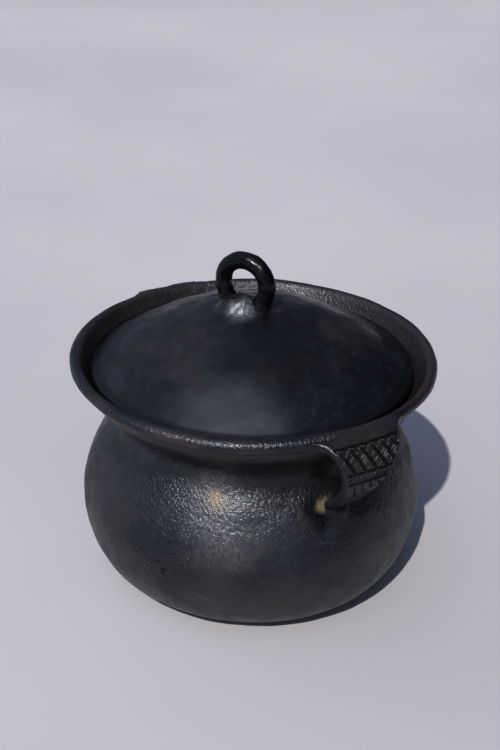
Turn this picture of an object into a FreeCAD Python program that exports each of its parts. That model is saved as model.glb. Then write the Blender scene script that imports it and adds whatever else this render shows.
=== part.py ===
"""Black clay stew pot with two ear handles and a loose domed lid.

Millimetres, +Z up. The origin is the centre of the flat foot, and the two handles point along +X and -X.
Every piece is one that the potter forms on its own and lutes to its neighbours before firing, so pieces of
the pot meet face to face, and so do pieces of the lid. The lid lies loose on the inner slope of the rim.
"""

import FreeCAD, Part
import math
import os

from FreeCAD import Vector

# Pot wall.
FOOT_RADIUS = 96.0  # edge of the flat underside that the pot stands on
FLOOR_THICKNESS = 9.0
BELLY_RADIUS = 134.3
BELLY_HEIGHT = 62.0  # height of the widest place
NECK_RADIUS = 108.0  # outside of the neck at its narrowest
NECK_HEIGHT = 134.0
WALL = 7.4
SHOULDER_SEAM = 126.0  # height where the rim collar is luted to the belly wall

# Rolled lip.
RIM_RADIUS = 140.0
RIM_HEIGHT = 183.0
LIP_RADIUS = 4.8  # half the thickness of the rolled edge
LIP_UNDERCUT = -105.0  # degrees on the lip's round where the outer flare runs in
LIP_SEAT = 142.0  # degrees on the lip's round where the inner slope starts

# Ear handles.
HANDLE_REACH = 154.0  # distance of the strap's outer face from the pot's axis
HANDLE_TOP = 181.4
HANDLE_FOOT = 106.0  # height where the strap's outer face runs into the belly
STRAP_THICKNESS = 8.4
STRAP_WIDTH_TOP = 56.0
STRAP_WIDTH_FOOT = 20.0
STRAP_EDGE_RADIUS = 2.4

# Lid.
LID_EDGE_CENTRE = 120.9  # radius of the centre of the lid's rounded edge
LID_EDGE_HEIGHT = 171.9
LID_THICKNESS = 5.6
DOME_RISE = 49.0
DOME_POWER = 1.72  # 2 would be a parabola; less makes the dome slightly conical
LID_OFFSET = Vector(-0.9, -1.5, 0)  # the loose lid lies a little off the pot's axis

# Finger ring on the lid.
RING_RADIUS = 18.2  # radius of the coil's centreline
COIL_RADIUS = 6.4
RING_HEIGHT = 236.8  # height of the ring's centre
RING_TURN = 30.8  # degrees from +X to the plane of the ring
RING_OFFSET = Vector(-3.1, -5.3, 0)  # the hand-set ring stands off the centre of the dome
LEG_LEAN = 20.0  # degrees that each leg leans inwards
PAD_TOP = 224.0
PAD_RADIUS = 25.0
PAD_STRETCH = 1.14  # length over width of the pad, along the ring

BIG = 400.0  # larger than the whole pot, for cutting tools
LAP = 6.0  # how far a cutting tool or a root reaches past the face it meets


def spline(points, start_tangent=None, end_tangent=None):
    """Smooth curve in the XZ plane through (radius, height) points."""
    curve = Part.BSplineCurve()
    vectors = [Vector(radius, 0, height) for radius, height in points]
    if start_tangent and end_tangent:
        first = Vector(start_tangent[0], 0, start_tangent[1])
        last = Vector(end_tangent[0], 0, end_tangent[1])
        curve.interpolate(Points=vectors, InitialTangent=first, FinalTangent=last)
    else:
        curve.interpolate(Points=vectors)
    return curve.toShape()


def line(start, end):
    return Part.makeLine(Vector(start[0], 0, start[1]), Vector(end[0], 0, end[1]))


def arc(centre, radius, start_angle, end_angle):
    """Arc in the XZ plane, from start_angle to end_angle in degrees."""
    def at(angle):
        turn = math.radians(angle)
        return Vector(centre[0] + radius * math.cos(turn), 0, centre[1] + radius * math.sin(turn))
    middle = (start_angle + end_angle) / 2
    return Part.Arc(at(start_angle), at(middle), at(end_angle)).toShape()


def on_circle(centre, radius, angle):
    turn = math.radians(angle)
    return (centre[0] + radius * math.cos(turn), centre[1] + radius * math.sin(turn))


def turned(edges):
    """Solid of revolution about Z of a closed outline of edges."""
    face = Part.Face(Part.Wire(Part.__sortEdges__(edges)))
    solid = face.revolve(Vector(0, 0, 0), Vector(0, 0, 1), 360)
    if solid.Volume < 0:
        solid.reverse()
    return solid


def lip_centre():
    return (RIM_RADIUS - LIP_RADIUS, RIM_HEIGHT - LIP_RADIUS)


def outer_curve():
    """Outside of the wall, from the edge of the foot up to the rolled lip."""
    lip_start = on_circle(lip_centre(), LIP_RADIUS, LIP_UNDERCUT)
    points = [
        (FOOT_RADIUS, 0),
        (110, 7.6),
        (124.4, 23),
        (132.2, 43),
        (BELLY_RADIUS, BELLY_HEIGHT),
        (128.6, 92),
        (116.6, 115),
        (NECK_RADIUS, NECK_HEIGHT),
        (112.8, 145.6),
        (122.1, 155.3),
        (130, 164.2),
        lip_start,
    ]
    return points, spline(points, (10, 0.6), (4, 8))


def inner_curve():
    """Inside of the wall, from the rolled lip down to the floor."""
    seat_start = on_circle(lip_centre(), LIP_RADIUS, LIP_SEAT)
    floor_start = (FOOT_RADIUS - 4, FLOOR_THICKNESS)
    points = [
        seat_start,
        (128.0, 174.5),
        (124.0, 168.1),
        (116.2, 160.4),
        (106.8, 150.4),
        (NECK_RADIUS - WALL, NECK_HEIGHT + 2),
        (109.8, 111.6),
        (121.4, 89.8),
        (BELLY_RADIUS - WALL, BELLY_HEIGHT),
        (124.8, 45.2),
        (118, 27),
        (105.2, 13.6),
        floor_start,
    ]
    return points, spline(points, (-5, -7), (-10, -0.6))


def pot_wall():
    """Wall, floor and lip in one solid of revolution, before it is parted at its seams."""
    outer_points, outer = outer_curve()
    inner_points, inner = inner_curve()
    edges = [
        line((0, 0), outer_points[0]),
        outer,
        arc(lip_centre(), LIP_RADIUS, LIP_UNDERCUT, LIP_SEAT),
        inner,
        line(inner_points[-1], (0, FLOOR_THICKNESS)),
        line((0, FLOOR_THICKNESS), (0, 0)),
    ]
    return turned(edges)


def pot_envelope():
    """Everything inside the pot's outer face, filled to the axis, for trimming the handles' roots."""
    outer_points, outer = outer_curve()
    lip_top = on_circle(lip_centre(), LIP_RADIUS, 90)
    edges = [
        line((0, 0), outer_points[0]),
        outer,
        arc(lip_centre(), LIP_RADIUS, LIP_UNDERCUT, 90),
        line(lip_top, (0, RIM_HEIGHT)),
        line((0, RIM_HEIGHT), (0, 0)),
    ]
    return turned(edges)


def slab(low, high):
    """Cutting block that keeps the heights from low to high."""
    return Part.makeBox(2 * BIG, 2 * BIG, high - low, Vector(-BIG, -BIG, low))


def base_bowl(wall):
    return wall.common(slab(-LAP, BELLY_HEIGHT))


def belly_wall(wall):
    return wall.common(slab(BELLY_HEIGHT, SHOULDER_SEAM))


def rim_collar(wall):
    return wall.common(slab(SHOULDER_SEAM, RIM_HEIGHT + LAP))


def strap_side_face():
    """Side outline of the strap: level at the lip, bulging out, then sweeping down into the belly."""
    outer_points = [
        (RIM_RADIUS - 8, HANDLE_TOP),
        (RIM_RADIUS, HANDLE_TOP - 0.4),
        (147.5, 178.2),
        (152.8, 171),
        (HANDLE_REACH, 161),
        (151, 147),
        (142.5, 131.5),
        (130, 117),
        (117, HANDLE_FOOT),
    ]
    inner_points = [
        (112.5, HANDLE_FOOT + 7.5),
        (123.8, 123.4),
        (135.2, 136.6),
        (142.9, 149.6),
        (HANDLE_REACH - STRAP_THICKNESS, 161),
        (144.4, 168),
        (139.5, 172),
        (RIM_RADIUS - 8, HANDLE_TOP - STRAP_THICKNESS),
    ]
    edges = [
        spline(outer_points),
        line(outer_points[-1], inner_points[0]),
        spline(inner_points),
        line(inner_points[-1], outer_points[0]),
    ]
    return Part.Face(Part.Wire(edges))


def strap_front_face():
    """Front outline of the strap, in the YZ plane: wide at the lip and narrow at the belly."""
    half_top = STRAP_WIDTH_TOP / 2
    half_foot = STRAP_WIDTH_FOOT / 2
    right = [
        (half_top, RIM_HEIGHT + LAP),
        (half_top - 0.6, 177),
        (24.6, 169),
        (20.8, 158),
        (18.2, 149),
        (15.6, 139),
        (13.2, 130),
        (11.2, 120),
        (half_foot + 0.2, 110),
        (half_foot, 98),
    ]

    def side(sign):
        curve = Part.BSplineCurve()
        curve.interpolate(Points=[Vector(0, sign * half_width, height) for half_width, height in right])
        return curve.toShape()
    top = Part.makeLine(Vector(0, -half_top, RIM_HEIGHT + LAP), Vector(0, half_top, RIM_HEIGHT + LAP))
    foot_width, foot_height = right[-1]
    foot = Part.makeLine(Vector(0, -foot_width, foot_height), Vector(0, foot_width, foot_height))
    return Part.Face(Part.Wire(Part.__sortEdges__([side(1), foot, side(-1), top])))


def strap():
    """Strap of the handle on +X before its roots are trimmed, with its long edges rounded."""
    side = strap_side_face()
    side.translate(Vector(0, -STRAP_WIDTH_TOP, 0))
    across = side.extrude(Vector(0, 2 * STRAP_WIDTH_TOP, 0))
    through = strap_front_face().extrude(Vector(BIG, 0, 0))
    body = across.common(through).Solids[0]
    long_edges = [edge for edge in body.Edges if edge.Length > 60 and is_long_edge(edge)]
    return body.makeFillet(STRAP_EDGE_RADIUS, long_edges)


def is_long_edge(edge):
    """True for the four edges that run along the strap, off its middle plane."""
    box = edge.BoundBox
    return box.ZLength > 40 and (box.YMin > 1 or box.YMax < -1)


def handle_right(envelope):
    """Ear handle on +X, with its roots cut to the pot's outer face."""
    trimmed = strap().cut(envelope)
    return max(trimmed.Solids, key=lambda solid: solid.Volume)


def handle_left(envelope):
    """The same handle on -X."""
    handle = handle_right(envelope)
    handle.rotate(Vector(0, 0, 0), Vector(0, 0, 1), 180)
    return handle


def dome_height(radius):
    """Height of the dome's outer face at a radius."""
    edge_radius = LID_EDGE_CENTRE + LID_THICKNESS / 2
    return LID_EDGE_HEIGHT + DOME_RISE * (1 - (radius / edge_radius) ** DOME_POWER)


def dome_curve(offset, start, end, count):
    """The dome's face moved in along its own normal by offset, through count points plus the apex."""
    points = []
    for i in range(count + 1):
        radius = start + (end - start) * i / count
        step = 0.01
        slope = (dome_height(radius + step) - dome_height(max(radius - step, 0))) / (2 * step)
        length = math.hypot(slope, 1)
        points.append((radius + offset * slope / length, dome_height(radius) - offset / length))
    points[0] = (0, points[0][1])
    return points


def lid_edge():
    """Slope of the dome at its edge, and the angle of its outward normal there in degrees."""
    slope = -DOME_RISE * DOME_POWER / (LID_EDGE_CENTRE + LID_THICKNESS / 2)
    return slope, math.degrees(math.atan2(1, -slope))


def dome_face(offset, end_angle):
    """One face of the dome, from its top to where the rounded edge starts."""
    slope, normal = lid_edge()
    end = on_circle((LID_EDGE_CENTRE, LID_EDGE_HEIGHT), LID_THICKNESS / 2, end_angle)
    points = dome_curve(offset, 0, LID_EDGE_CENTRE - 8, 5) + [end]
    return points, spline(points, (1, 0), (1, slope))


def lid_dome():
    """Thin dome with a rounded edge that lies on the rim's inner slope."""
    slope, normal = lid_edge()
    outer_points, outer = dome_face(0, normal)
    inner_points, inner = dome_face(LID_THICKNESS, normal - 180)
    edges = [
        outer,
        arc((LID_EDGE_CENTRE, LID_EDGE_HEIGHT), LID_THICKNESS / 2, normal, normal - 180),
        inner,
        line(inner_points[0], outer_points[0]),
    ]
    return turned(edges)


def dome_filled():
    """Everything under the dome's outer face, for trimming the pad and the ring's legs."""
    slope, normal = lid_edge()
    outer_points, outer = dome_face(0, normal)
    end = outer_points[-1]
    edges = [
        outer,
        line(end, (end[0], LID_EDGE_HEIGHT)),
        line((end[0], LID_EDGE_HEIGHT), (0, LID_EDGE_HEIGHT)),
        line((0, LID_EDGE_HEIGHT), outer_points[0]),
    ]
    return turned(edges)


def ring_coil():
    """Round coil bent to a standing loop, with straight legs that run down into the lid."""
    lean = math.radians(LEG_LEAN)
    centre = (0, RING_HEIGHT)
    shoulder_x, shoulder_z = on_circle(centre, RING_RADIUS, -LEG_LEAN)
    leg_foot_z = dome_height(0) - LAP
    leg_length = (shoulder_z - leg_foot_z) / math.cos(lean)
    foot_x = shoulder_x - leg_length * math.sin(lean)
    path = Part.Wire([
        line((foot_x, leg_foot_z), (shoulder_x, shoulder_z)),
        arc(centre, RING_RADIUS, -LEG_LEAN, 180 + LEG_LEAN),
        line((-shoulder_x, shoulder_z), (-foot_x, leg_foot_z)),
    ])
    along = Vector(math.sin(lean), 0, math.cos(lean))
    circle = Part.Circle(Vector(foot_x, 0, leg_foot_z), along, COIL_RADIUS)
    coil = path.makePipeShell([Part.Wire(circle.toShape())], True, False)
    coil.rotate(Vector(0, 0, 0), Vector(0, 0, 1), RING_TURN)
    coil.translate(RING_OFFSET)
    return coil


def lid_ring(coil, filled):
    return max(coil.cut(filled).Solids, key=lambda solid: solid.Volume)


def lid_pad(coil, filled):
    """Low mound that beds the ring's legs, hollowed softly towards the dome all round."""
    below = LID_EDGE_HEIGHT
    foot_height = dome_height(PAD_RADIUS)
    crown = [
        (0, PAD_TOP),
        (10, PAD_TOP - 1.2),
        (16, PAD_TOP - 3.6),
        (PAD_RADIUS - 1, foot_height + 0.6),
        (PAD_RADIUS + 4, foot_height - 3),
    ]
    edges = [
        spline(crown, (1, 0), (1, -0.7)),
        line(crown[-1], (crown[-1][0], below)),
        line((crown[-1][0], below), (0, below)),
        line((0, below), crown[0]),
    ]
    stretch = FreeCAD.Matrix()
    stretch.scale(Vector(PAD_STRETCH, 1, 1))
    mound = turned(edges).transformGeometry(stretch)
    mound.rotate(Vector(0, 0, 0), Vector(0, 0, 1), RING_TURN)
    mound.translate(RING_OFFSET)
    pad = mound.cut(filled).cut(coil)
    return max(pad.Solids, key=lambda solid: solid.Volume)


def main():
    os.makedirs("parts", exist_ok=True)
    wall = pot_wall()
    envelope = pot_envelope()
    filled = dome_filled()
    coil = ring_coil()
    pieces = {
        "base_bowl": base_bowl(wall),
        "belly_wall": belly_wall(wall),
        "rim_collar": rim_collar(wall),
        "handle_right": handle_right(envelope),
        "handle_left": handle_left(envelope),
        "lid_dome": lid_dome(),
        "lid_pad": lid_pad(coil, filled),
        "lid_ring": lid_ring(coil, filled),
    }
    for node, shape in pieces.items():
        if node.startswith("lid"):
            shape.translate(LID_OFFSET)
        shape.exportStep(f"parts/{node}.step")


main()
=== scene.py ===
import math

import bpy
import numpy as np
from mathutils import Matrix, Vector


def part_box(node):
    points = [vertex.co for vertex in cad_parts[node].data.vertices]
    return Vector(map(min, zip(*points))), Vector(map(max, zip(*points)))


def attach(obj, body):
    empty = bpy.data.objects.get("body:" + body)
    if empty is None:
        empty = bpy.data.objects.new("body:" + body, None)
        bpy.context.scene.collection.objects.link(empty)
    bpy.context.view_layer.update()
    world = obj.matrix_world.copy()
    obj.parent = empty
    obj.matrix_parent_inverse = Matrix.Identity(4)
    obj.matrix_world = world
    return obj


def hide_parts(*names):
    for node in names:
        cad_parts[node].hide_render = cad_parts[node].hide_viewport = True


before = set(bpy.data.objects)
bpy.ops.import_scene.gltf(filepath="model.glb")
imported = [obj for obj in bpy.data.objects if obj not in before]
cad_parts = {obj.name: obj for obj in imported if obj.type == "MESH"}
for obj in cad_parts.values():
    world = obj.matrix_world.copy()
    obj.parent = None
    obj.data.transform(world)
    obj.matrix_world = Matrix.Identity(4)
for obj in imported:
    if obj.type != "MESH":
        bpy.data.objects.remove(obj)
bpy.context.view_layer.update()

MM = 0.001

# Sizes taken from the frame, in millimetres.
RIM_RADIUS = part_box("rim_collar")[1].y / MM
RIM_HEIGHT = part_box("rim_collar")[1].z / MM
BELLY_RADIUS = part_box("belly_wall")[1].y / MM
BELLY_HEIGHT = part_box("belly_wall")[0].z / MM
RING_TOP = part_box("lid_ring")[1].z / MM
LID_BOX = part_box("lid_dome")
LID_RADIUS = (LID_BOX[1].y - LID_BOX[0].y) / 2 / MM
LID_CENTRE = [(LID_BOX[1][i] + LID_BOX[0][i]) / 2 / MM for i in range(2)]
LID_LOW = LID_BOX[0].z / MM
RING_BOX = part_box("lid_ring")
RING_CENTRE = [(RING_BOX[1][i] + RING_BOX[0][i]) / 2 / MM for i in range(2)]

# Wall of the pot, as in the CAD model.
FOOT_RADIUS = 96.0
FLOOR_THICKNESS = 9.0
NECK_RADIUS = 108.0
NECK_HEIGHT = 134.0
WALL = 7.4
LIP_RADIUS = 4.8
LIP_UNDERCUT = -105.0
LIP_SEAT = 142.0
AXIS_GAP = 2.0  # radius of the last ring of vertices, closed by a fan of triangles

# Lid and ring, as in the CAD model.
LID_THICKNESS = 5.6
LID_EDGE_CENTRE = LID_RADIUS - LID_THICKNESS / 2
LID_EDGE_HEIGHT = LID_LOW + LID_THICKNESS / 2
DOME_RISE = 49.0
DOME_POWER = 1.72
DOME_TOP_GAP = 1.0  # radius of the ring of vertices nearest to the dome's axis
RING_RADIUS = 18.2
COIL_RADIUS = 6.4
RING_HEIGHT = RING_TOP - RING_RADIUS - COIL_RADIUS
RING_TURN = math.radians(30.8)
LEG_LEAN = math.radians(20.0)
PAD_RADIUS = 22.0
PAD_STRETCH = 1.14
SKIRT_HEIGHT = 1.9
BED_RADIUS = 14.0  # steeper bed of clay between the ring's legs and in front of them
BED_CENTRE = (-3.0, -7.5)
BED_STRETCH = 1.35
BED_HEIGHT = 5.8

# Camera, lights and floor.
VIEW_AZIMUTH = math.radians(58.3)  # counted from -Y towards +X
VIEW_ELEVATION = math.radians(27.95)
VIEW_DISTANCE = 0.8877
VIEW_AIM = (-0.0028, 0.0, 0.1597)  # metres right of, beyond and above the foot's centre
VIEW_YAW = math.radians(-0.206)
VIEW_ROLL = math.radians(1.30)
FOCAL_LENGTH = 55.0
SENSOR = 36.0
KEY_AZIMUTH = math.radians(-49.5)  # counted from +X towards +Y
KEY_ELEVATION = math.radians(47.8)
KEY_STRENGTH = 3.2
KEY_SPREAD = math.radians(1.0)
KEY_COLOUR = (1.0, 0.97, 0.92)
SKY_COLOUR = (0.66, 0.74, 1.0, 1)
SKY_SIDE = (-0.90, -0.35, 0.6)  # brightest part of the sky, seen from the camera: right, beyond, above
SKY_DIM = 0.06
SKY_BRIGHT = 0.68
FLOOR_SIDE = 12.0
FLOOR_PALE = (0.509, 0.496, 0.515, 1)
FLOOR_GREY = (0.468, 0.456, 0.478, 1)
DISPLAY_GAMMA = 0.8
DISPLAY_EXPOSURE = 0.20


# Shapes.

def smooth_step(value):
    clipped = np.clip(value, 0.0, 1.0)
    return clipped * clipped * (3 - 2 * clipped)


def cubic_through(points, spacing):
    """Natural cubic spline through points, sampled about every `spacing` along its length."""
    points = np.array(points, float)
    chords = np.linalg.norm(np.diff(points, axis=0), axis=1)
    knots = np.concatenate([[0], np.cumsum(chords)])
    count = len(points)
    system = np.zeros((count, count))
    right = np.zeros_like(points)
    system[0, 0] = system[-1, -1] = 1
    for i in range(1, count - 1):
        before, after = chords[i - 1], chords[i]
        system[i, i - 1:i + 2] = before, 2 * (before + after), after
        right[i] = 6 * ((points[i + 1] - points[i]) / after - (points[i] - points[i - 1]) / before)
    bend = np.linalg.solve(system, right)
    samples = np.linspace(0, knots[-1], max(int(knots[-1] / spacing), 2) + 1)
    span = np.clip(np.searchsorted(knots, samples, side="right") - 1, 0, count - 2)
    width = chords[span][:, None]
    low = (samples - knots[span])[:, None] / width
    high = 1 - low
    curve = high * points[span] + low * points[span + 1]
    curve += ((high ** 3 - high) * bend[span] + (low ** 3 - low) * bend[span + 1]) * width ** 2 / 6
    return curve


def arc(centre, radius, start, end, count):
    angles = np.radians(np.linspace(start, end, count + 1))
    return np.stack([centre[0] + radius * np.cos(angles), centre[1] + radius * np.sin(angles)], 1)


def joined(*runs):
    """Polyline of several runs, without the doubled points where they meet."""
    parts = [runs[0]] + [run[1:] for run in runs[1:]]
    return np.concatenate(parts)


def ripples(points, wavelength, seed, stretch=(1, 1, 1), waves=40):
    """Smooth random field with unit spread, made of plane waves about one wavelength long."""
    chance = np.random.default_rng(seed)
    directions = chance.normal(size=(waves, 3))
    directions /= np.linalg.norm(directions, axis=1)[:, None]
    lengths = wavelength * chance.uniform(0.7, 1.5, waves)
    phases = chance.uniform(0, 2 * math.pi, waves)
    vectors = directions / lengths[:, None] * 2 * math.pi / np.array(stretch)
    return np.sin(points @ vectors.T + phases).sum(1) * math.sqrt(2 / waves)


def upright_turn(angle):
    """Matrix that turns rows of points by an angle around the upright axis."""
    cos, sin = math.cos(angle), math.sin(angle)
    return np.array([[cos, sin, 0], [-sin, cos, 0], [0, 0, 1]])


def make_mesh(name, vertices_mm, faces):
    mesh = bpy.data.meshes.new(name)
    mesh.from_pydata((np.asarray(vertices_mm) * MM).tolist(), [], faces)
    mesh.validate()
    mesh.shade_smooth()
    piece = bpy.data.objects.new(name, mesh)
    bpy.context.scene.collection.objects.link(piece)
    return piece


def grid_faces(rows, columns, wrap_rows=False, wrap_columns=True, offset=0):
    """Quads of a grid of vertices numbered row by row."""
    faces = []
    for i in range(rows if wrap_rows else rows - 1):
        low = offset + i * columns
        high = offset + (i + 1) % rows * columns
        for j in range(columns if wrap_columns else columns - 1):
            k = (j + 1) % columns
            faces.append((low + j, low + k, high + k, high + j))
    return faces


def turned_grid(profile, segments):
    """Vertices of a surface of revolution, profile point by profile point, and their outward normals."""
    angles = np.linspace(0, 2 * math.pi, segments, endpoint=False)
    tangent = np.gradient(profile, axis=0)
    tangent /= np.linalg.norm(tangent, axis=1)[:, None]
    normal = np.stack([tangent[:, 1], -tangent[:, 0]], 1)
    cos, sin = np.cos(angles), np.sin(angles)

    def spin(values):
        radial = values[:, 0][:, None]
        height = np.repeat(values[:, 1][:, None], segments, 1)
        return np.stack([radial * cos, radial * sin, height], 2).reshape(-1, 3)
    return spin(profile), spin(normal)


def cap_faces(ring_start, segments, centre, flip):
    """Triangles from a ring of vertices to the vertex at the axis."""
    faces = []
    for j in range(segments):
        k = (j + 1) % segments
        pair = (ring_start + k, ring_start + j) if flip else (ring_start + j, ring_start + k)
        faces.append((pair[0], pair[1], centre))
    return faces


# The pot.

def lip_centre():
    return (RIM_RADIUS - LIP_RADIUS, RIM_HEIGHT - LIP_RADIUS)


def pot_profile():
    """Outline of the wall: from the foot up the outside, over the lip and down the inside."""
    lip_start = arc(lip_centre(), LIP_RADIUS, LIP_UNDERCUT, LIP_UNDERCUT, 1)[0]
    seat_start = arc(lip_centre(), LIP_RADIUS, LIP_SEAT, LIP_SEAT, 1)[0]
    outer = [
        (FOOT_RADIUS, 0),
        (110, 7.6),
        (124.4, 23),
        (132.2, 43),
        (BELLY_RADIUS, BELLY_HEIGHT),
        (128.6, 92),
        (116.6, 115),
        (NECK_RADIUS, NECK_HEIGHT),
        (112.8, 145.6),
        (122.1, 155.3),
        (130, 164.2),
        tuple(lip_start),
    ]
    inner = [
        tuple(seat_start),
        (128.0, 174.5),
        (124.0, 168.1),
        (116.2, 160.4),
        (106.8, 150.4),
        (NECK_RADIUS - WALL, NECK_HEIGHT + 2),
        (109.8, 111.6),
        (121.4, 89.8),
        (BELLY_RADIUS - WALL, BELLY_HEIGHT),
        (124.8, 45.2),
        (118, 27),
        (105.2, 13.6),
        (FOOT_RADIUS - 4, FLOOR_THICKNESS),
    ]
    return joined(
        np.array([(AXIS_GAP, 0), (30, 0), (60, 0), (FOOT_RADIUS - 2, 0), (FOOT_RADIUS, 0)]),
        cubic_through(outer, 2.6),
        arc(lip_centre(), LIP_RADIUS, LIP_UNDERCUT, LIP_SEAT, 22),
        cubic_through(inner, 3.4),
        np.array([(FOOT_RADIUS - 4, FLOOR_THICKNESS), (40, FLOOR_THICKNESS), (AXIS_GAP, FLOOR_THICKNESS)]),
    )


def settle_rim(points):
    """The rim is not quite level: lift and lower it a little around its circle."""
    angle = np.arctan2(points[:, 1], points[:, 0])
    share = smooth_step((points[:, 2] - 150) / 30)
    points[:, 2] += share * (0.5 * np.sin(2 * angle + 0.6) + 0.3 * np.sin(5 * angle + 2.0)) - 0.5 * share


def pot_shell():
    segments = 420
    profile = pot_profile()
    base, normals = turned_grid(profile, segments)
    amount = 0.45 * ripples(base, 110, 1) + 0.16 * ripples(base, 34, 2, (1, 1, 0.6))
    amount += 0.05 * ripples(base, 13, 3, (1, 1, 0.5))
    settled = smooth_step(base[:, 2] / 12)
    vertices = base + normals * (amount * settled)[:, None]
    settle_rim(vertices)
    rows = len(profile)
    foot_centre = len(vertices)
    vertices = np.concatenate([vertices, [(0, 0, 0), (0, 0, FLOOR_THICKNESS)]])
    faces = grid_faces(rows, segments)
    faces += cap_faces(0, segments, foot_centre, True)
    faces += cap_faces((rows - 1) * segments, segments, foot_centre + 1, False)
    piece = make_mesh("pot_shell", vertices, faces)
    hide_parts("base_bowl", "belly_wall", "rim_collar")
    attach(piece, "pot")
    return piece


# The lid.

def dome_height(radius):
    edge = LID_EDGE_CENTRE + LID_THICKNESS / 2
    return LID_EDGE_HEIGHT + DOME_RISE * (1 - (radius / edge) ** DOME_POWER)


def lid_profile():
    """Outline of the dome from its top, down the outside, round the edge and back up the inside."""
    half = LID_THICKNESS / 2
    edge_radius = LID_EDGE_CENTRE + half
    edge_slope = DOME_RISE * DOME_POWER / edge_radius
    normal = math.degrees(math.atan2(1, edge_slope))
    radius = np.linspace(DOME_TOP_GAP, LID_EDGE_CENTRE - 2, 96)
    outer = np.stack([radius, dome_height(radius)], 1)
    edge = arc((LID_EDGE_CENTRE, LID_EDGE_HEIGHT), half, normal, normal - 180, 14)
    slope = edge_slope * (radius / edge_radius) ** (DOME_POWER - 1)
    length = np.hypot(slope, 1)
    inner_radius = radius - LID_THICKNESS * slope / length
    inner = np.stack([inner_radius, dome_height(radius) - LID_THICKNESS / length], 1)
    inner = inner[inner_radius > DOME_TOP_GAP][::-1][1:][::3]
    return np.concatenate([outer, edge, inner]), len(outer)


def pad_height(x, y):
    """Height of the mound of clay above the dome, with x along the ring."""
    reach = np.hypot(x / PAD_STRETCH, y)
    skirt = SKIRT_HEIGHT * (1 - smooth_step((reach - 7) / (PAD_RADIUS - 7)))
    bed = np.hypot((x - BED_CENTRE[0]) / BED_STRETCH, y - BED_CENTRE[1])
    return skirt + BED_HEIGHT * (1 - smooth_step((bed - 6) / (BED_RADIUS - 6)))


def lid_shell():
    segments = 400
    profile, outer_rows = lid_profile()
    base, normals = turned_grid(profile, segments)
    normals = -normals
    amount = 0.40 * ripples(base, 95, 11) + 0.14 * ripples(base, 30, 12) + 0.04 * ripples(base, 12, 13)
    settled = 1 - 0.8 * smooth_step((np.hypot(base[:, 0], base[:, 1]) - 112) / 10)
    vertices = base + normals * (amount * settled)[:, None]
    outer = slice(0, outer_rows * segments)
    cos, sin = math.cos(RING_TURN), math.sin(RING_TURN)
    east = base[outer, 0] + LID_CENTRE[0] - RING_CENTRE[0]
    north = base[outer, 1] + LID_CENTRE[1] - RING_CENTRE[1]
    along = east * cos + north * sin
    across = -east * sin + north * cos
    mound = pad_height(along, across)
    lumps = 0.5 * ripples(base[outer], 9, 14) + 0.35 * ripples(base[outer], 4, 15)
    vertices[outer, 2] += mound + lumps * 0.75 * smooth_step(mound / 2.5)
    rows = len(profile)
    top_centre = len(vertices)
    top = vertices[:segments, 2].mean()
    under = vertices[-segments:, 2].mean()
    vertices = np.concatenate([vertices, [(0, 0, top), (0, 0, under)]])
    vertices[:, :2] += LID_CENTRE
    faces = [face[::-1] for face in grid_faces(rows, segments)]
    faces += cap_faces(0, segments, top_centre, False)
    faces += cap_faces((rows - 1) * segments, segments, top_centre + 1, True)
    piece = make_mesh("lid_shell", vertices, faces)
    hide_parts("lid_dome", "lid_pad")
    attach(piece, "lid")
    return piece


def tube(centres, normals, radii, segments):
    """Closed tube around a planar path, given the in-plane normal at each point."""
    tangent = np.gradient(centres, axis=0)
    tangent /= np.linalg.norm(tangent, axis=1)[:, None]
    side = np.cross(tangent, normals)
    angles = np.linspace(0, 2 * math.pi, segments, endpoint=False)
    cos, sin = np.cos(angles)[None, :, None], np.sin(angles)[None, :, None]
    around = normals[:, None] * cos + side[:, None] * sin
    vertices = (centres[:, None] + around * radii[:, None, None]).reshape(-1, 3)
    return vertices, around.reshape(-1, 3)


def lid_ring():
    """Round coil bent to a loop, its legs spreading into the pad."""
    segments = 48
    leg_foot = dome_height(0) - 3
    turn = np.linspace(-LEG_LEAN, math.pi + LEG_LEAN, 150)
    loop = np.stack([RING_RADIUS * np.cos(turn), RING_HEIGHT + RING_RADIUS * np.sin(turn)], 1)
    length = (loop[0, 1] - leg_foot) / math.cos(LEG_LEAN)
    steps = np.linspace(length, 0, 24)[:-1]
    leg = loop[0] - np.stack([math.sin(LEG_LEAN) * steps, math.cos(LEG_LEAN) * steps], 1)
    path = np.concatenate([leg, loop, (leg * [-1, 1])[::-1]])
    normal_leg = np.repeat([[math.cos(LEG_LEAN), -math.sin(LEG_LEAN)]], len(leg), 0)
    normal_loop = np.stack([np.cos(turn), np.sin(turn)], 1)
    normal = np.concatenate([normal_leg, normal_loop, (normal_leg * [-1, 1])[::-1]])
    centres = np.stack([path[:, 0], np.zeros(len(path)), path[:, 1]], 1)
    normals = np.stack([normal[:, 0], np.zeros(len(path)), normal[:, 1]], 1)
    splay = 1 - smooth_step((path[:, 1] - leg_foot) / 11)
    radii = COIL_RADIUS + 3.2 * splay ** 1.6
    vertices, around = tube(centres, normals, radii, segments)
    vertices += around * (0.16 * ripples(vertices, 16, 21) + 0.06 * ripples(vertices, 6, 22))[:, None]
    vertices = vertices @ upright_turn(RING_TURN)
    faces = grid_faces(len(path), segments)
    count = len(vertices)
    ends = [vertices[:segments].mean(0), vertices[-segments:].mean(0)]
    vertices = np.concatenate([vertices, ends])
    vertices[:, :2] += RING_CENTRE
    faces += cap_faces(0, segments, count, True)
    faces += cap_faces(count - segments, segments, count + 1, False)
    piece = make_mesh("lid_ring_coil", vertices, faces)
    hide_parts("lid_ring")
    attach(piece, "lid")
    return piece


# The handles.

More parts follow.
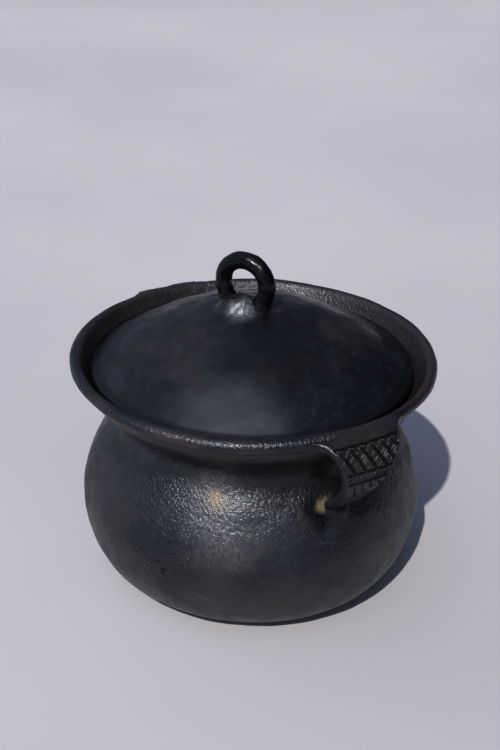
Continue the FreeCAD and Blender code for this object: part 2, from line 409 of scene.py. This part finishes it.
STRAP_MIDDLE = [  # (radius, height) of the strap's outer face, from inside the lip to inside the belly
    (135.2, 180.6),
    (138.6, 181.3),
    (142.3, 180.7),
    (147.7, 177.9),
    (152.6, 171.2),
    (154.0, 161.0),
    (151.0, 147.0),
    (142.5, 131.5),
    (130.5, 117.4),
    (120.0, 108.6),
]
STRAP_HALF_WIDTH = [  # distance along the strap, half width
    (0, 48.0),
    (1, 46.0),
    (4, 40.0),
    (7, 34.0),
    (10, 30.4),
    (14, 28.4),
    (23, 25.2),
    (35, 21.0),
    (44, 18.6),
    (55, 15.8),
    (64, 13.6),
    (78, 11.2),
    (100, 10.6),
]
STRAP_THICKNESS = 8.4
STRAP_THINNING = 1.2  # how much thinner the strap is at its foot
STRAP_EDGE = 2.6
ROOT_DEPTH = 3.0  # how far the smeared root reaches into the wall

# Bands of the incised pattern, as distances along the strap.
LATTICE = (13.6, 34.6)
ROPE = (35.9, 44.0)
ZIGZAG = (45.3, 62.9)
LATTICE_PITCH = 8.6
ROPE_STROKES = 10


def strap_half_width(along):
    table = np.array(STRAP_HALF_WIDTH)
    return np.interp(along, table[:, 0], table[:, 1])


def incised_lines():
    """Line segments of the pattern, as (along, across) ends, width and depth in millimetres."""
    lines = []

    def add(start, end, width, depth):
        lines.append((start, end, width, depth))

    def edge(along):
        return 0.93 * float(strap_half_width(along))

    for along in (LATTICE[0], LATTICE[1], ROPE[1], ZIGZAG[1]):
        add((along, -edge(along)), (along, edge(along)), 1.15, 1.2)
    for i in range(-4, 4):
        top = i * LATTICE_PITCH + 1
        add((LATTICE[0], top), (LATTICE[1], top + 12.5), 1.35, 1.35)
        if i % 2 == 1 or i > 1:
            add((LATTICE[0], top + 7.5), (LATTICE[1] - 5, top - 2.5), 0.95, 0.9)
        for k in range(4):
            start = LATTICE[0] + 2.0 + 4.6 * k
            left = top + 1.6 + 2.6 * k
            add((start, left + 5.4), (start + 4.2, left + 1.2), 0.6, 0.65)
    half = edge(ROPE[0])
    for i in range(ROPE_STROKES):
        start = -half + 2 * half * i / ROPE_STROKES
        add((ROPE[1] - 1.2, start), (ROPE[0] + 0.6, start + 7.5), 0.95, 1.0)
    for i in range(4):
        left = -10.0 + 6.4 * i
        corner = (ZIGZAG[1] - 3.0 - 2.5 * i, left + 3.5)
        add((ZIGZAG[0] + 2.5, left), corner, 0.85, 0.8)
        add(corner, (corner[0] - 2.0, left + 6.5), 0.7, 0.6)
    return lines


def groove_depth(along, across):
    """Depth of the incised pattern at points of the strap's outer face; raised burrs are negative."""
    depth = np.zeros_like(along)
    burr = np.zeros_like(along)
    inside = (np.abs(across) < strap_half_width(along) * 0.95)
    for start, end, width, deep in incised_lines():
        start, end = np.array(start), np.array(end)
        run = end - start
        share = ((along - start[0]) * run[0] + (across - start[1]) * run[1]) / (run @ run)
        share = np.clip(share, 0, 1)
        gap = np.hypot(along - start[0] - share * run[0], across - start[1] - share * run[1])
        depth = np.maximum(depth, deep * np.clip(1 - (gap / width) ** 2, 0, 1))
        burr = np.maximum(burr, 0.42 * deep * np.exp(-((gap - width * 1.2) / 0.45) ** 2))
    return (depth - burr * (depth < 0.02)) * inside


def belly_face_radius(height):
    """Radius of the pot's outer face at heights between the widest place and the neck."""
    profile = pot_profile()
    inner_face = profile[:, 0] < BELLY_RADIUS - 2
    low = int(np.argmin(np.abs(profile[:, 1] - BELLY_HEIGHT) + 1000 * inner_face))
    high = low + int(np.argmin(profile[low:low + 60, 0]))
    return np.interp(height, profile[low:high + 1, 1], profile[low:high + 1, 0])


def smeared_root():
    """Soft mound of clay that joins the strap's foot to the belly, as a grid of points for +X."""
    across = np.linspace(-27, 27, 82)
    heights = np.linspace(80, 121, 70)
    z, y = np.meshgrid(heights, across, indexing="ij")
    rise = 3.2 * smooth_step((z - 94) / 16) * (1 - smooth_step((z - 110) / 9))
    rise = rise * (1 - smooth_step((np.abs(y) - 1) / 13)) - 0.6
    radius = belly_face_radius(z)
    front = np.stack([np.sqrt((radius + rise) ** 2 - y ** 2), y, z], 2)
    back = np.stack([np.sqrt((radius - ROOT_DEPTH) ** 2 - y ** 2), y, z], 2)[:, ::-1]
    around = np.concatenate([front, back], 1)
    rows, columns = around.shape[:2]
    faces = grid_faces(rows, columns)
    faces.append(tuple(range(columns))[::-1])
    faces.append(tuple(range((rows - 1) * columns, rows * columns)))
    return around.reshape(-1, 3), faces


def handle(name, node, turn):
    """Strap of clay: flush with the lip, bulging out, tapering down, and smeared onto the belly."""
    centre = cubic_through(STRAP_MIDDLE, 0.42)
    steps = np.linalg.norm(np.diff(centre, axis=0), axis=1)
    along = np.concatenate([[0], np.cumsum(steps)])
    tangent = np.gradient(centre, axis=0)
    tangent /= np.linalg.norm(tangent, axis=1)[:, None]
    normal = np.stack([-tangent[:, 1], tangent[:, 0]], 1)
    thickness = STRAP_THICKNESS - STRAP_THINNING * smooth_step((along - 30) / 50)
    half_width = strap_half_width(along)
    face_count, back_count = 150, 40
    edge_angles = np.linspace(0, math.pi, 13)[1:-1]
    across_face = np.linspace(-1, 1, face_count)
    across_back = np.linspace(1, -1, back_count)
    columns = face_count + back_count + 2 * len(edge_angles)
    vertices = np.zeros((len(along), columns, 3))
    cut = np.zeros((len(along), columns))
    for i in range(len(along)):
        half = thickness[i] / 2
        flat = half_width[i] - STRAP_EDGE
        side_y = flat + STRAP_EDGE * np.sin(edge_angles)
        side_n = -half + half * np.cos(edge_angles)
        y = np.concatenate([across_face * flat, side_y, across_back * flat, -side_y[::-1]])
        back = np.full(back_count, -2 * half)
        depth = np.concatenate([np.zeros(face_count), side_n, back, side_n[::-1]])
        crown = 0.5 * (y / half_width[i]) ** 2
        groove = np.zeros(columns)
        groove[:face_count] = groove_depth(np.full(face_count, along[i]), across_face * flat)
        depth = depth - groove - crown * (depth > -1)
        cut[i] = groove
        sagitta = centre[i, 0] - np.sqrt(centre[i, 0] ** 2 - y ** 2)
        follow = 1 - smooth_step((along[i] - 6) / 14)
        vertices[i, :, 0] = centre[i, 0] + normal[i, 0] * depth - sagitta * follow
        vertices[i, :, 1] = y
        vertices[i, :, 2] = centre[i, 1] + normal[i, 1] * depth
    rows = len(along)
    strap = vertices.reshape(-1, 3)
    away = np.zeros((rows, columns, 3))
    away[:, :, 0] = normal[:, :1]
    away[:, :, 2] = normal[:, 1:]
    amount = 0.22 * ripples(strap, 26, 31) + 0.07 * ripples(strap, 9, 32)
    strap = strap + away.reshape(-1, 3) * amount[:, None]
    strap = strap @ upright_turn(turn)
    settle_rim(strap)
    faces = grid_faces(rows, columns)
    faces.append(tuple(range(columns)))
    faces.append(tuple(range((rows - 1) * columns, rows * columns))[::-1])
    root, root_faces = smeared_root()
    root = root @ upright_turn(turn)
    start = len(strap)
    faces = [face[::-1] for face in faces] + [tuple(start + k for k in face) for face in root_faces]
    piece = make_mesh(name, np.concatenate([strap, root]), faces)
    marks = piece.data.attributes.new("cut", "FLOAT", "POINT")
    depths = np.concatenate([cut.ravel(), np.zeros(len(root))])
    marks.data.foreach_set("value", depths.astype(np.float32))
    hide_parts(node)
    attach(piece, "pot")
    return piece


# Materials.

class Nodes:
    """Shorthand for building a material's node tree."""

    def __init__(self, name):
        self.material = bpy.data.materials.new(name)
        self.material.use_nodes = True
        self.tree = self.material.node_tree
        self.shader = self.tree.nodes["Principled BSDF"]
        self.place = self.tree.nodes.new("ShaderNodeTexCoord").outputs["Object"]

    def link(self, source, socket):
        self.tree.links.new(source, socket)

    def put(self, value, socket):
        if isinstance(value, bpy.types.NodeSocket):
            self.link(value, socket)
        else:
            socket.default_value = value

    def math(self, operation, first, second=0.0):
        node = self.tree.nodes.new("ShaderNodeMath")
        node.operation = operation
        self.put(first, node.inputs[0])
        self.put(second, node.inputs[1])
        return node.outputs[0]

    def grained(self, axis, stretch):
        """The object's coordinates squeezed along an axis, so that a texture is drawn out along it."""
        node = self.tree.nodes.new("ShaderNodeMapping")
        node.vector_type = "TEXTURE"
        node.inputs["Rotation"].default_value = Vector(axis).to_track_quat("Y", "Z").to_euler()
        node.inputs["Scale"].default_value = (1.0, stretch, 1.0)
        self.link(self.place, node.inputs["Vector"])
        return node.outputs[0]

    def attribute(self, name):
        node = self.tree.nodes.new("ShaderNodeAttribute")
        node.attribute_name = name
        return node.outputs["Fac"]

    def blend(self, factor, first, second):
        """Plain number between first and second."""
        node = self.tree.nodes.new("ShaderNodeMix")
        node.data_type = "FLOAT"
        self.put(factor, node.inputs["Factor"])
        self.put(first, node.inputs["A"])
        self.put(second, node.inputs["B"])
        return node.outputs["Result"]

    def noise(self, scale, detail, roughness, vector=None):
        node = self.tree.nodes.new("ShaderNodeTexNoise")
        node.inputs["Scale"].default_value = scale
        node.inputs["Detail"].default_value = detail
        node.inputs["Roughness"].default_value = roughness
        self.link(vector or self.place, node.inputs["Vector"])
        return node.outputs["Fac"]

    def cells(self, scale, vector):
        node = self.tree.nodes.new("ShaderNodeTexVoronoi")
        node.inputs["Scale"].default_value = scale
        self.link(vector, node.inputs["Vector"])
        return node

    def between(self, value, low, high, to_low=0.0, to_high=1.0):
        node = self.tree.nodes.new("ShaderNodeMapRange")
        node.interpolation_type = "SMOOTHSTEP"
        self.put(value, node.inputs["Value"])
        node.inputs["From Min"].default_value = low
        node.inputs["From Max"].default_value = high
        node.inputs["To Min"].default_value = to_low
        node.inputs["To Max"].default_value = to_high
        return node.outputs["Result"]

    def mix(self, factor, first, second):
        node = self.tree.nodes.new("ShaderNodeMix")
        node.data_type = "RGBA"
        self.put(factor, node.inputs["Factor"])
        self.put(first, node.inputs["A"])
        self.put(second, node.inputs["B"])
        return node.outputs["Result"]

    def near(self, point, radius):
        """1 at a point of the object, falling to 0 at a ragged radius."""
        ragged = 0.55
        node = self.tree.nodes.new("ShaderNodeVectorMath")
        node.operation = "DISTANCE"
        self.link(self.place, node.inputs[0])
        node.inputs[1].default_value = point
        wobble = self.math("MULTIPLY", self.noise(1.3 / radius, 4.0, 0.65), radius * ragged * 2)
        distance = self.math("ADD", node.outputs["Value"], wobble)
        return self.between(distance, radius * (1 + ragged), radius * (0.25 + ragged))

    def band(self, centre, inner, outer):
        """1 above RIM_SLOPE between two radii from an upright axis through centre, with soft edges."""
        apart = self.tree.nodes.new("ShaderNodeVectorMath")
        apart.operation = "SUBTRACT"
        self.link(self.place, apart.inputs[0])
        apart.inputs[1].default_value = (centre[0] * MM, centre[1] * MM, 0)
        split = self.tree.nodes.new("ShaderNodeSeparateXYZ")
        self.link(apart.outputs[0], split.inputs[0])
        east = self.math("POWER", split.outputs["X"], 2.0)
        north = self.math("POWER", split.outputs["Y"], 2.0)
        radius = self.math("SQRT", self.math("ADD", east, north))
        soft = 0.8 * MM
        inside = self.between(radius, inner * MM - soft, inner * MM + soft)
        outside = self.between(radius, outer * MM + soft, outer * MM - soft)
        high = self.between(split.outputs["Z"], RIM_SLOPE * MM - 0.002, RIM_SLOPE * MM + 0.002)
        return self.math("MULTIPLY", self.math("MULTIPLY", inside, outside), high)

    def bump(self, height, distance, below=None):
        node = self.tree.nodes.new("ShaderNodeBump")
        node.inputs["Distance"].default_value = distance
        self.link(height, node.inputs["Height"])
        if below:
            self.link(below, node.inputs["Normal"])
        return node.outputs["Normal"]


RIM_SLOPE = 160.0  # the rim's inner slope and the lid's edge are above this height
GRAIN_AXIS = (0.5 * math.cos(VIEW_AZIMUTH), 0.5 * math.sin(VIEW_AZIMUTH), -0.85)
GRAIN_STRETCH = 2.0
GRAIN_SCALE = 470.0
SCAR_SCALE = 250.0
SCAR_DEPTH = 0.0016

# Colours of the clay and of what the fire left on it, and of painted shade and painted highlights.
CHARCOAL = (0.0034, 0.0044, 0.0070, 1)
BROWN_BLACK = (0.0240, 0.0180, 0.0185, 1)
SMOKE = (0.0240, 0.0290, 0.0420, 1)
# Near-black, for soot marks and also for painted shade in the grooves, beside the front strap, under the
# lip and at the lid's edge.
SOOT_AND_PAINTED_SHADE = (0.0008, 0.0008, 0.0010, 1)
# Painted shade in the scars' pits.
SCAR_PAINTED_SHADE = (0.0006, 0.0006, 0.0008, 1)
RUST = (0.040, 0.026, 0.027, 1)
EARTH = (0.028, 0.022, 0.022, 1)
CLAY_RED = (0.040, 0.029, 0.031, 1)
# The next three are painted highlights: the key light's sheen on the lid and belly, and the sky's
# reflection on the lid's pad.
PAINTED_SHEEN_BLUE_GREY = (0.034, 0.038, 0.048, 1)
BELLY_PAINTED_HIGHLIGHT = (0.105, 0.106, 0.110, 1)
PAD_PAINTED_REFLECTION = (0.15, 0.16, 0.18, 1)
TAN = (0.13, 0.088, 0.050, 1)
OCHRE = (0.27, 0.21, 0.12, 1)


def clay(name, roughness, peel, patches=(), smoke=0.8, shine=(), painted_highlights=(), bands=(), scarred=(),
         incised=False, specular=0.5):
    """Smoke-blackened burnished clay.

    peel is the depth of its skin's grain. patches are (point, radius, colour, strength): stains, painted
    shade and painted highlights. So are painted_highlights, pale patches strongest on the grain's ridges.
    shine is (point, radius, roughness) and scarred is (point, radius) of pitted places, painted darker in
    the pits. All of these are in metres. bands are (centre, inner radius, outer radius, colour, strength),
    in millimetres.
    """
    n = Nodes(name)
    clouds = n.noise(17.0, 5.0, 0.62)
    colour = n.mix(n.between(clouds, 0.44, 0.66), CHARCOAL, BROWN_BLACK)
    specks = n.math("MULTIPLY", n.between(n.noise(150.0, 3.0, 0.7), 0.52, 0.74), smoke)
    colour = n.mix(specks, colour, SMOKE)
    mist = n.math("MULTIPLY", n.between(n.noise(26.0, 5.0, 0.62), 0.48, 0.75), smoke)
    colour = n.mix(mist, colour, SMOKE)
    grain = n.noise(GRAIN_SCALE, 2.5, 0.55, n.grained(GRAIN_AXIS, GRAIN_STRETCH))
    # Painted highlights: pale colour laid on the grain's ridges.
    for point, radius, highlight_colour, strength in painted_highlights:
        ridges = n.math("MULTIPLY", n.between(grain, 0.34, 0.64, 0.4, 1.0), n.near(point, radius))
        colour = n.mix(n.math("MULTIPLY", ridges, strength), colour, highlight_colour)
    # Patches of colour: stains, and also painted shade and painted highlights.
    for point, radius, patch_colour, strength in patches:
        colour = n.mix(n.math("MULTIPLY", n.near(point, radius), strength), colour, patch_colour)
    # Bands of colour: a stain on the rim, and painted shade at the lid's edge.
    for centre, inner, outer, patch_colour, strength in bands:
        colour = n.mix(n.math("MULTIPLY", n.band(centre, inner, outer), strength), colour, patch_colour)
    level = n.between(n.noise(38.0, 5.0, 0.7), 0.3, 0.7, roughness - 0.13, roughness + 0.13)
    for point, radius, burnish in shine:
        level = n.blend(n.near(point, radius), level, burnish)
    fine = n.noise(1500.0, 1.0, 0.5)
    normal = n.bump(grain, peel)
    normal = n.bump(fine, peel * 0.2, normal)
    for point, radius in scarred:
        cells = n.cells(SCAR_SCALE, n.grained((1, 0.2, 0.3), 1.9))
        rim = n.between(cells.outputs["Distance"], 0.12, 0.34)
        chosen = n.math("MULTIPLY", n.between(cells.outputs["Color"], 0.42, 0.52), n.near(point, radius))
        height = n.math("SUBTRACT", 1.0, n.math("MULTIPLY", n.math("SUBTRACT", 1.0, rim), chosen))
        normal = n.bump(height, SCAR_DEPTH, normal)
        # Painted shade: the pits are coloured darker by their depth.
        colour = n.mix(n.math("SUBTRACT", 1.0, height), colour, SCAR_PAINTED_SHADE)
    if incised:
        cut = n.attribute("cut")
        # Painted shade: the grooves are coloured near-black.
        colour = n.mix(n.between(cut, 0.02, 0.5), colour, SOOT_AND_PAINTED_SHADE)
        level = n.blend(n.between(cut, 0.02, 0.4), level, 0.5)
        level = n.blend(n.between(cut, -0.05, -0.3), level, 0.22)
    n.link(colour, n.shader.inputs["Base Color"])
    n.link(level, n.shader.inputs["Roughness"])
    n.link(normal, n.shader.inputs["Normal"])
    n.shader.inputs["IOR"].default_value = 1.5
    n.shader.inputs["Specular IOR Level"].default_value = specular
    n.shader.inputs["Specular Tint"].default_value = (0.90, 0.95, 1.0, 1)
    return n.material


def on_pot(camera_azimuth, radius, height):
    """Point in metres, from its azimuth (-90 faces the camera) and its radius and height in mm."""
    turn = math.radians(camera_azimuth) + VIEW_AZIMUTH
    return (radius * MM * math.cos(turn), radius * MM * math.sin(turn), height * MM)


def finish_piece(piece, material):
    piece.data.materials.clear()
    piece.data.materials.append(material)


# Stage, light and camera.

def floor():
    bpy.ops.mesh.primitive_plane_add(size=FLOOR_SIDE, location=(0, 0, 0))
    ground = bpy.context.object
    ground.name = "floor"
    n = Nodes("floor_paper")
    tone = n.between(n.noise(1.6, 3.0, 0.5), 0.3, 0.7)
    n.link(n.mix(tone, FLOOR_GREY, FLOOR_PALE), n.shader.inputs["Base Color"])
    n.shader.inputs["Roughness"].default_value = 0.95
    finish_piece(ground, n.material)


def lights():
    world = bpy.data.worlds.new("studio")
    world.use_nodes = True
    tree = world.node_tree
    backdrop = tree.nodes["Background"]
    backdrop.inputs["Color"].default_value = SKY_COLOUR
    side = Matrix.Rotation(VIEW_AZIMUTH, 3, "Z") @ Vector(SKY_SIDE).normalized()
    facing = tree.nodes.new("ShaderNodeVectorMath")
    facing.operation = "DOT_PRODUCT"
    tree.links.new(tree.nodes.new("ShaderNodeTexCoord").outputs["Generated"], facing.inputs[0])
    facing.inputs[1].default_value = side
    ramp = tree.nodes.new("ShaderNodeMapRange")
    ramp.inputs["From Min"].default_value = -0.5
    ramp.inputs["From Max"].default_value = 0.9
    ramp.inputs["To Min"].default_value = SKY_DIM
    ramp.inputs["To Max"].default_value = SKY_BRIGHT
    tree.links.new(facing.outputs["Value"], ramp.inputs["Value"])
    tree.links.new(ramp.outputs["Result"], backdrop.inputs["Strength"])
    bpy.context.scene.world = world
    key = bpy.data.lights.new("key", "SUN")
    key.energy = KEY_STRENGTH
    key.angle = KEY_SPREAD
    key.color = KEY_COLOUR
    lamp = bpy.data.objects.new("key", key)
    level = math.cos(KEY_ELEVATION)
    source = Vector(
        (level * math.cos(KEY_AZIMUTH), level * math.sin(KEY_AZIMUTH), math.sin(KEY_ELEVATION)))
    lamp.rotation_euler = source.to_track_quat("Z", "Y").to_euler()
    bpy.context.scene.collection.objects.link(lamp)


def camera():
    data = bpy.data.cameras.new("camera")
    data.lens = FOCAL_LENGTH
    data.sensor_width = SENSOR
    data.clip_end = 50
    eye = bpy.data.objects.new("camera", data)
    turn = Matrix.Rotation(VIEW_AZIMUTH, 3, "Z")
    forward = Matrix.Rotation(-VIEW_YAW, 3, "Z") @ Vector(
        (0, math.cos(VIEW_ELEVATION), -math.sin(VIEW_ELEVATION)))
    forward = turn @ forward
    aim = turn @ Vector(VIEW_AIM)
    attitude = forward.to_track_quat("-Z", "Y").to_matrix() @ Matrix.Rotation(VIEW_ROLL, 3, "Z")
    eye.matrix_world = Matrix.Translation(aim - forward * VIEW_DISTANCE) @ attitude.to_4x4()
    bpy.context.scene.collection.objects.link(eye)
    bpy.context.scene.camera = eye


def build():
    flanges = [(on_pot(-58.3, 139.0, 181.0), 0.034, EARTH, 0.9)]
    pot_stains_and_shade = [
        (on_pot(-67.4, 119.0, 111.0), 0.012, SOOT_AND_PAINTED_SHADE, 0.98),
        (on_pot(-66.4, 123.0, 103.5), 0.010, SOOT_AND_PAINTED_SHADE, 0.95),
        # Painted shade: the next two near-black patches stand for the front strap's cast shadow on the
        # shoulder and belly, and the third for the shade on the neck under the lip.
        (on_pot(-53.0, 110.0, 126.0), 0.030, SOOT_AND_PAINTED_SHADE, 0.95),
        (on_pot(-38.0, 119.0, 112.0), 0.022, SOOT_AND_PAINTED_SHADE, 0.9),
        (on_pot(-80.0, 108.0, 138.0), 0.045, SOOT_AND_PAINTED_SHADE, 0.8),
        (on_pot(-64.2, 118.0, 112.6), 0.0078, OCHRE, 0.65),
        (on_pot(-101.9, 115.0, 118.5), 0.013, TAN, 0.65),
        (on_pot(-102.5, 113.1, 120.5), 0.007, OCHRE, 0.45),
        (on_pot(-10.0, 134.0, 178.0), 0.080, RUST, 0.7),
        (on_pot(-112.0, 138.0, 177.0), 0.030, RUST, 0.7),
        (on_pot(-80.0, 125.0, 30.0), 0.050, CLAY_RED, 0.6),
        (on_pot(-100.0, 132.0, 45.0), 0.030, CLAY_RED, 0.5),
    ] + flanges
    pot_shine = [
        (on_pot(-99.0, 125.0, 94.0), 0.072, 0.29),
        (on_pot(-90.0, 139.0, 179.0), 0.055, 0.30),
        (on_pot(-67.4, 119.0, 111.0), 0.013, 0.16),
        (on_pot(-66.4, 123.0, 103.5), 0.010, 0.16),
    ]
    ring_middle = (RING_CENTRE[0] * MM, RING_CENTRE[1] * MM, RING_HEIGHT * MM)
    ring_dark = [(ring_middle, 0.08, SOOT_AND_PAINTED_SHADE, 0.9)]
    lid_stains_and_highlight = [
        (on_pot(-84.0, 62.0, 205.0), 0.062, SOOT_AND_PAINTED_SHADE, 0.9),
        # Painted highlight: a pale blue-grey patch stands for the key light's sheen on the lid's lower
        # front.
        (on_pot(-98.0, 112.0, 180.0), 0.050, PAINTED_SHEEN_BLUE_GREY, 0.85),
    ]
    lid_shine = [
        (on_pot(-97.0, 114.0, 182.0), 0.062, 0.54),
        (on_pot(-116.0, 20.0, 221.0), 0.018, 0.40),
    ]
    pot_material = clay(
        "black_clay_pot", 0.40, 0.00085, pot_stains_and_shade, smoke=0.55, shine=pot_shine, specular=0.7,
        bands=[((0, 0), 110.0, 134.5, EARTH, 0.75)],
        # Painted highlight: pale grey and blue-grey patches on the grain's ridges stand for the key light's
        # sheen on the belly.
        painted_highlights=[
            (on_pot(-99.0, 122.0, 106.0), 0.048, BELLY_PAINTED_HIGHLIGHT, 0.9),
            (on_pot(-84.0, 122.0, 105.0), 0.036, PAINTED_SHEEN_BLUE_GREY, 0.8),
        ],
        scarred=[(on_pot(-123.0, 133.5, 72.0), 0.036), (on_pot(-112.0, 134.0, 67.0), 0.026)])
    handle_material = clay("black_clay_handle", 0.38, 0.0002, flanges, incised=True)
    lid_material = clay(
        "black_clay_lid", 0.37, 0.00016, lid_stains_and_highlight, smoke=0.6, shine=lid_shine, specular=0.6,
        # Painted shade: a near-black band stands for the shade in the gap between the lid's edge and the
        # lip.
        bands=[(LID_CENTRE, 117.2, 130.0, SOOT_AND_PAINTED_SHADE, 0.97)],
        # Painted reflection: a pale patch stands for the sky's reflection on the front of the pad.
        painted_highlights=[(on_pot(-122.0, 18.0, 221.0), 0.016, PAD_PAINTED_REFLECTION, 0.95)])
    ring_material = clay("black_clay_ring", 0.26, 0.00005, ring_dark, smoke=0.1, specular=0.4)
    finish_piece(pot_shell(), pot_material)
    finish_piece(lid_shell(), lid_material)
    finish_piece(lid_ring(), ring_material)
    finish_piece(handle("handle_right_strap", "handle_right", 0.0), handle_material)
    finish_piece(handle("handle_left_strap", "handle_left", math.pi), handle_material)


bpy.context.scene.view_settings.view_transform = "Standard"
bpy.context.scene.view_settings.gamma = DISPLAY_GAMMA
bpy.context.scene.view_settings.exposure = DISPLAY_EXPOSURE
build()
floor()
lights()
camera()
